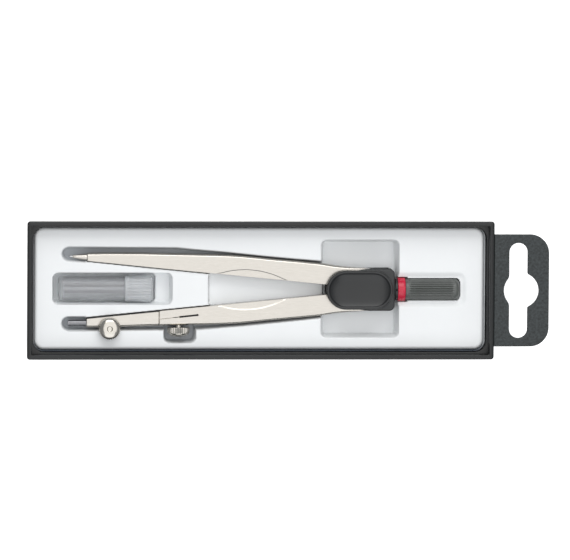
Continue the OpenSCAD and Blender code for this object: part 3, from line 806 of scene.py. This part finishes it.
def build_lead_insert():
    """The tapered arm with its lug, its peg, the lead's bore and the clamp's slit."""
    outer = [(-43.92, 12.3), (-48, 12.42), (-52, 12.55), (-56, 12.68), (-60, 12.8), (-64, 12.88),
             (-67.4, 12.9), (-68.4, 12.85)]
    xs = list(np.linspace(-68.4, -43.92, 60))
    rings = []
    for x in xs:
        x = float(x)
        v_in = 7.45 + (-43.92 - x) * 0.1
        v_out = float(smooth_curve(outer, x))
        rings.append(section(x, v_in, v_out, LEG_HALF, 1.15, LIP))
    end = [(p[0], p[1] + (0.15 if p[1] < 9.5 else -0.15), p[2] * 0.93) for p in rings[-1]]
    full = [(p[0] - 0.15, p[1], p[2]) for p in rings[-1]]
    arm = loft("lead_insert_body", chamfered(rings[:-1], 0.15) + [full, end], 30)
    turns = [math.radians(6 * i) for i in range(60)]
    lug = [(LEAD_SCREW_X + LUG_R * math.cos(a), -LEAD_SCREW_Y + LUG_R * math.sin(a)) for a in turns]
    combine(arm, plate("lug", [lug], -LEG_HALF + 0.02, LEG_HALF - 0.02, 0.3), "UNION")
    mirror_y(arm)
    combine(arm, slit_line(lathe_x("peg", [(-1.1, 1.2), (4.7, 1.2), (5.0, 1.0)], 64)), "UNION")
    combine(arm, place(lathe_x("bore", [(-70, 1.04), (-49.6, 1.04)], 64),
                       Matrix.Translation((0, LEAD_Y * MM, 0))), "DIFFERENCE")
    combine(arm, box_object("clamp_slit", (-70, -18, -0.17), (-55.6, LEAD_Y, 0.17)), "DIFFERENCE")
    combine(arm, rod_z("screw_bore", LEAD_SCREW_X, LEAD_SCREW_Y, -5, 5, 0.65), "DIFFERENCE")
    tidy(arm, 30)
    return arm


finish_piece(at_compass(build_lead_insert()), NICKEL, "pencil_leg", "satin_nickel", "lead_insert")

lead = lathe_x("lead_body", [(LEAD_X, 1.0), (-74.0, 1.0), (-73.0, 1.0), (-54.7, 1.0), (-54.5, 0.85)], 48)
cutter = box_object("chisel", (-10, -6, -3), (0, 6, 3))
chisel_turn = Matrix.Rotation(math.radians(-49), 4, "Z")
place(cutter, Matrix.Translation((LEAD_X * MM, 0.65 * MM, 0)) @ chisel_turn)
combine(lead, cutter, "DIFFERENCE")
tidy(lead, 30)
place(lead, Matrix.Translation((0, LEAD_Y * MM, 0)))
finish_piece(at_compass(lead), GRAPHITE, "lead", "graphite", "compass_lead")


# ---------------------------------------------------------------- clamp screws
def knob(name, shank, r):
    """A knurled, domed knob turned about X; its under face is at 0, its shank goes to -shank."""
    profile = [(-shank, r - 0.15), (-shank + 0.2, r), (0, r), (0.02, 1.15), (0.45, 1.15), (0.45, 3.2),
               (0.5, 3.5), (0.62, 3.68), (0.8, 3.75), (2.2, 3.75), (2.36, 3.68), (2.48, 3.5)]
    profile += [(2.48 + 1.17 * math.sin(t), 1.0 + 2.5 * math.cos(t)) for t in np.linspace(0.12, 1.52, 14)]
    profile += [(3.64, 1.0), (3.56, 0.93), (3.3, 0.85), (3.22, 0.7), (3.2, 0.3), (3.2, 0.02)]

    def knurl(x, r, a):
        if r < 3.55 or x < 0.5 or x > 2.45:
            return r
        return r - 0.2 * (0.5 - 0.5 * math.cos(34 * a)) ** 0.7

    return lathe_x(name, profile, 34 * 8, knurl, 40)


lead_screw = place(knob("lead_screw_knob", 4.2, 0.55), Matrix.Rotation(-math.pi / 2, 4, "Y"))
place(lead_screw, Matrix.Translation((LEAD_SCREW_X * MM, LEAD_SCREW_Y * MM, (LEG_HALF + 0.04) * MM)))
finish_piece(at_compass(lead_screw), POLISHED, "lead_screw", "polished_nickel", "lead_clamp_screw")
insert_screw = place(knob("insert_screw_knob", 4.4, 0.9), Matrix.Rotation(-math.pi / 2, 4, "Z"))
place(insert_screw, Matrix.Translation((INSERT_SCREW_X * MM, INSERT_SCREW_Y * MM, 0)))
finish_piece(at_compass(insert_screw), POLISHED, "insert_screw", "polished_nickel", "insert_clamp_screw")

# ---------------------------------------------------------------- head
CHEEK = LEG_HALF + 0.1 + 1.7


def head_outline():
    pts = []
    r = 6.15
    for i in range(25):
        a = math.radians(90 + 180 * i / 24)
        pts.append((13.0 + r + r * math.cos(a), r * math.sin(a)))
    pts += [(21.5, -6.2), (23, -6.4), (24.5, -6.8), (26, -7.0), (27.5, -7.1)]
    for i in range(13):
        a = math.radians(-90 + 90 * i / 12)
        pts.append((35.8 - 1.9 + 1.9 * math.cos(a), -7.1 + 1.9 + 1.9 * math.sin(a)))
    for i in range(13):
        a = math.radians(90 * i / 12)
        pts.append((35.8 - 1.9 + 1.9 * math.cos(a), 7.1 - 1.9 + 1.9 * math.sin(a)))
    pts += [(27.5, 7.1), (26, 7.0), (24.5, 6.8), (23, 6.4), (21.5, 6.2)]
    return pts


head = plate("head", [head_outline()], -CHEEK, CHEEK, 0.6, 4)
neck = lathe_x("neck", [(33, 3.3), (35.95, 3.3), (36.05, 3.5), (36.25, 3.68), (36.75, 3.72), (36.9, 3.64),
                        (36.9, 2.2), (54.9, 2.2), (55, 2.1)], 96)
combine(head, neck, "UNION")
combine(head, box_object("fork", (5, -9, -LEG_HALF - 0.1), (33.9, 9, LEG_HALF + 0.1)), "DIFFERENCE")
combine(head, box_object("notch", (36.25, -0.42, 2.4), (37.5, 0.42, 5)), "DIFFERENCE")
for s in (-1, 1):
    combine(head, rod_z("pin_hole", PIVOT[0], s * PIVOT[1], -9, 9, 0.98), "DIFFERENCE")
tidy(head, 30)
finish_piece(at_compass(head), HEAD_BLACK, "head", "head_black", "head_body")


def cover(name):
    """An oval cover with a raised rim and a dished centre; its back face is at Z = 0."""
    x0, x1, w, top = 12.6, 35.1, 13.2, 1.35
    steps = [(0.12, 0.0), (0, 0.12), (0, top - 0.42), (0.06, top - 0.2), (0.18, top - 0.06), (0.36, top),
             (0.62, top), (0.82, top - 0.05), (0.95, top - 0.16), (1.04, top - 0.34), (1.12, top - 0.42)]
    for i in range(1, 22):
        t = i / 21
        steps.append((1.12 + t * (w / 2 - 1.12 - 0.02), top - 0.42 - 0.88 * (1 - (1 - t) ** 2.6)))
    rings = [stadium(x0 + d, x1 - d, w - 2 * d, z) for d, z in steps]
    return loft(name, rings, 30)


front = cover("front_cover")
place(front, Matrix.Translation((0, 0, CHEEK * MM)))
finish_piece(at_compass(front), COVER_BLACK, "head", "cover_black", "head_cover_front")
back = place(cover("back_cover"), Matrix.Scale(-1, 4, Vector((0, 0, 1))))
tidy(back, 30)
place(back, Matrix.Translation((0, 0, -CHEEK * MM)))
finish_piece(at_compass(back), COVER_BLACK, "head", "cover_black", "head_cover_back")

# ---------------------------------------------------------------- ring and grip
ring = lathe_x("ring", [(36.92, 2.22), (36.92, 3.7), (37.0, 3.86), (37.2, 3.95), (39.2, 3.95), (39.4, 3.86),
                        (39.48, 3.7), (39.48, 2.22)], 96, closed=True)
finish_piece(at_compass(ring), RING_RED, "head", "ring_red", "red_ring")

RIBS = 28


def grip_rib(x, r, a):
    if r < 3.0:
        return r
    ends = min(1.0, max(0.0, (x - 40.2) / 1.1), max(0.0, (56.9 - x) / 1.6))
    wave = 0.5 - 0.5 * math.cos(RIBS * a)
    return r - 0.42 * ends * max(0.0, wave - (1 - ends)) ** 1.6


grip_profile = [(39.5, 2.22), (39.5, 3.3), (39.58, 3.5), (39.8, 3.6)]
grip_profile += [(x, 3.6) for x in np.linspace(40.1, 56.3, 42)]
grip_profile += [(56.3 + 1.6 * math.sin(t), 2.0 + 1.6 * math.cos(t)) for t in np.linspace(0.15, 1.57, 10)]
grip_profile += [(57.9, 0.02), (55.02, 0.02), (55.02, 2.22)]
grip = lathe_x("grip", grip_profile, RIBS * 8, grip_rib, 40, closed=True)
finish_piece(at_compass(grip), GRIP_BLACK, "head", "grip_black", "handle_grip")


# ---------------------------------------------------------------- lead tube
def at_tube(obj):
    return place(obj, Matrix.Translation((0, 0, TUBE_Z * MM)))


tube_profile = [(-77.4, 0.02), (-77.4, 3.3), (-77.3, 3.7), (-77.05, 4.0), (-76.7, 4.13), (-76.2, 4.15),
                (-55.2, 4.15), (-55.05, 4.1), (-55.0, 3.95), (-55.0, 3.7), (-51.0, 3.7), (-50.85, 3.65),
                (-50.8, 3.5), (-50.8, 3.3), (-50.85, 3.22), (-51.0, 3.2), (-75.6, 3.2), (-76.0, 3.05),
                (-76.2, 2.7), (-76.2, 0.02)]
tube = lathe_x("tube", tube_profile, 96, smooth_angle=40)
finish_piece(at_tube(tube), CLEAR, "tube", "clear_plastic", "lead_tube")


def cap_rib(x, r, a):
    if r < 4.2:
        return r
    ends = min(1.0, max(0.0, (x + 54.4) / 0.5), max(0.0, (-45.7 - x) / 0.6))
    return r - 0.3 * ends * (0.5 - 0.5 * math.cos(26 * a)) ** 0.8


cap_profile = [(-54.95, 3.76), (-54.95, 4.4), (-54.85, 4.52), (-54.7, 4.55)]
cap_profile += [(x, 4.55) for x in np.linspace(-54.5, -46.6, 24)]
cap_profile += [(-46.6 + 1.1 * math.sin(t), 3.45 + 1.1 * math.cos(t)) for t in np.linspace(0.15, 1.57, 8)]
cap_profile += [(-45.5, 0.02), (-46.5, 0.02), (-46.5, 3.4), (-46.7, 3.65), (-47.0, 3.74)]
cap = lathe_x("cap", cap_profile, 26 * 8, cap_rib, 40, closed=True)
finish_piece(at_tube(cap), CLEAR_CAP, "tube_cap", "clear_plastic", "lead_tube_cap")

SPARES = [(1.95, -0.6), (0.45, -2.05), (-1.5, -1.5), (-0.06, -0.02)]
for i, (dy, dz) in enumerate(SPARES):
    stick = lathe_x("spare_%d" % (i + 1), [(-75.9, 0.8), (-75.75, 1.0), (-51.65, 1.0), (-51.5, 0.8)], 40)
    place(stick, Matrix.Translation((0, dy * MM, dz * MM)))
    at_tube(stick)
    finish_piece(stick, GRAPHITE, "tube", "graphite", *(["spare_leads"] if i == 0 else []))

recolour("leg_pivots", STEEL)

# ---------------------------------------------------------------- floor and light
floor_mesh = bpy.data.meshes.new("floor")
floor_mesh.from_pydata([(-3, -3, 0), (3, -3, 0), (3, 3, 0), (-3, 3, 0)], [], [(0, 1, 2, 3)])
floor = bpy.data.objects.new("floor", floor_mesh)
SCENE.collection.objects.link(floor)
floor.location = (0, 0, -0.0002)
floor_mat, _, _, f_shader = material("floor_white", (0.93, 0.93, 0.93), 0.9, spec=0.1)
f_shader.inputs["Emission Color"].default_value = (1, 1, 1, 1)
f_shader.inputs["Emission Strength"].default_value = 0.7
floor.data.materials.append(floor_mat)


def area(name, where, size, power, color=(1, 1, 1), aim=(0, 0, 0.01)):
    data = bpy.data.lights.new(name, "AREA")
    data.shape = "RECTANGLE"
    data.size, data.size_y = size
    data.energy = power
    data.color = color
    obj = bpy.data.objects.new(name, data)
    SCENE.collection.objects.link(obj)
    obj.location = where
    obj.rotation_mode = "QUATERNION"
    obj.rotation_quaternion = (Vector(where) - Vector(aim)).to_track_quat("Z", "Y")
    obj.visible_camera = False
    return obj


def glow(size, radiance):
    """Power that gives a panel of this size this radiance."""
    return radiance * math.pi * size[0] * size[1]


# Soft panels: a wide one overhead towards the far side, and one along each long side.
top_size, far_size, near_size = (1.9, 2.3), (1.8, 1.2), (1.4, 1.1)
area("overhead", (0.2, 0.6, 1.6), top_size, glow(top_size, 1.2), (1.0, 0.992, 0.985), (0.2, 0.6, 0))
area("far_side", (0, 1.75, 1.35), far_size, glow(far_size, 2.6), (1.0, 0.998, 0.99))
area("near_side", (0, -1.0, 1.25), near_size, glow(near_size, 1.35), (0.99, 0.995, 1.0))

world = bpy.data.worlds.new("world")
SCENE.world = world
world.use_nodes = True
back_node = world.node_tree.nodes["Background"]
back_node.inputs["Color"].default_value = (0.95, 0.975, 1.0, 1)
back_node.inputs["Strength"].default_value = 0.34
